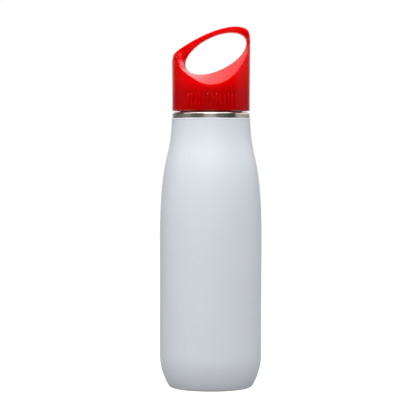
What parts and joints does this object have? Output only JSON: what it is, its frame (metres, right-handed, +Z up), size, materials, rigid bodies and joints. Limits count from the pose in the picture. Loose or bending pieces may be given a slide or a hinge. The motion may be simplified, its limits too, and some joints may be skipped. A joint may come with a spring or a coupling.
{
  "type": "insulated water bottle",
  "caption": "Slim double-wall steel drinking bottle with a white coat, a bare steel ring and a red screw cap that carries a slanting elliptical carry loop.",
  "frame": {"origin": "centre of the foot, on the surface that the bottle stands on", "axes": "+Z up the bottle's axis; the carry loop's opening runs along Y and the loop rises towards +X"},
  "size_m": [0.072, 0.072, 0.2549],
  "materials": {
    "brushed_steel": "bare stainless steel, brushed around the axis",
    "white_coat": "satin white powder coat",
    "inner_steel": "electropolished stainless steel",
    "plate_steel": "stainless steel disc, turned finish",
    "solder": "dull solder",
    "getter": "sintered metal",
    "silicone": "translucent white silicone",
    "grey_plastic": "dark grey polypropylene",
    "foam": "closed-cell foam",
    "red_plastic": "semi-gloss red polypropylene"
  },
  "bodies": {
    "bottle": {"outer_shell": "brushed_steel", "body_coat": "white_coat", "inner_vessel": "inner_steel", "inner_base": "inner_steel", "outer_base": "brushed_steel", "vacuum_plug": "solder", "base_plate": "plate_steel", "getter_cup": "inner_steel", "getter_tablet": "getter"},
    "seal": {"seal_ring": "silicone"},
    "cap": {"cap_insert": "grey_plastic", "cap_foam": "foam", "cap_shell": "red_plastic"}
  },
  "joints": [
    {"name": "cap_rise", "type": "slide", "parent": "bottle", "child": "seal", "axis": [0, 0, 1], "range_m": [0, 0.01201]},
    {"name": "cap_turn", "type": "hinge", "parent": "seal", "child": "cap", "pos_m": [0, 0, 0.207], "axis": [0, 0, 1], "range_deg": [0, 1080]}
  ],
  "couplings": [
    {"joint": "cap_rise", "follows": "cap_turn", "m_per_rad": 0.00063662}
  ]
}
